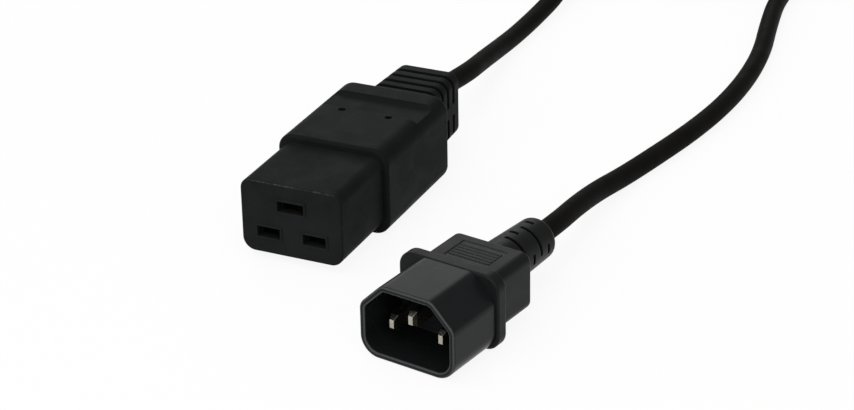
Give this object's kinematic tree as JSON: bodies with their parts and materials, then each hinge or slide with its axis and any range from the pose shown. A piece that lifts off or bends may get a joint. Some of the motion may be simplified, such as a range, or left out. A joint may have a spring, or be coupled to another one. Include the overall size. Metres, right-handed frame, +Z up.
{
  "type": "c19 power connector",
  "caption": "Straight C19 power connector with a ribbed strain relief, a three-core cord and a C14 plug at its far end.",
  "frame": {"origin": "under the middle of the C19 connector, at the level it rests on, measured without the cord and what is on it", "axes": "+Z up, +Y along the connector from its nose to its cord exit, +X to the right when it is seen from in front of its nose"},
  "size_m": [0.0896, 0.3264, 0.0242],
  "materials": {
    "overmould": "fine satin moulded PVC, near black",
    "carrier": "smooth satin moulded plastic, near black",
    "shroud": "smooth moulded plastic with a soft sheen, near black",
    "cord_jacket": "matt PVC jacket, near black",
    "contact": "plain folded brass strip",
    "pin": "nickel-plated brass",
    "copper": "bare stranded copper",
    "core_line": "brown PVC",
    "core_neutral": "blue PVC",
    "core_earth": "green and yellow PVC"
  },
  "bodies": {
    "root": {"c19_contact_carrier": "carrier", "c19_carrier_cap": "carrier", "c19_overmould": "overmould", "c19_line_contact": "contact", "c19_line_insulation": "core_line", "c19_line_conductor": "copper", "c19_neutral_contact": "contact", "c19_neutral_insulation": "core_neutral", "c19_neutral_conductor": "copper", "c19_earth_contact": "contact", "c19_earth_insulation": "core_earth", "c19_earth_conductor": "copper", "c14_shroud": "shroud", "c14_overmould": "overmould", "c14_line_pin": "pin", "c14_line_insulation": "core_line", "c14_line_conductor": "copper", "c14_neutral_pin": "pin", "c14_neutral_insulation": "core_neutral", "c14_neutral_conductor": "copper", "c14_earth_pin": "pin", "c14_earth_insulation": "core_earth", "c14_earth_conductor": "copper", "cord_from_c19": "cord_jacket", "cord_from_c14": "cord_jacket", "cord_coil": "cord_jacket"}
  },
  "joints": []
}
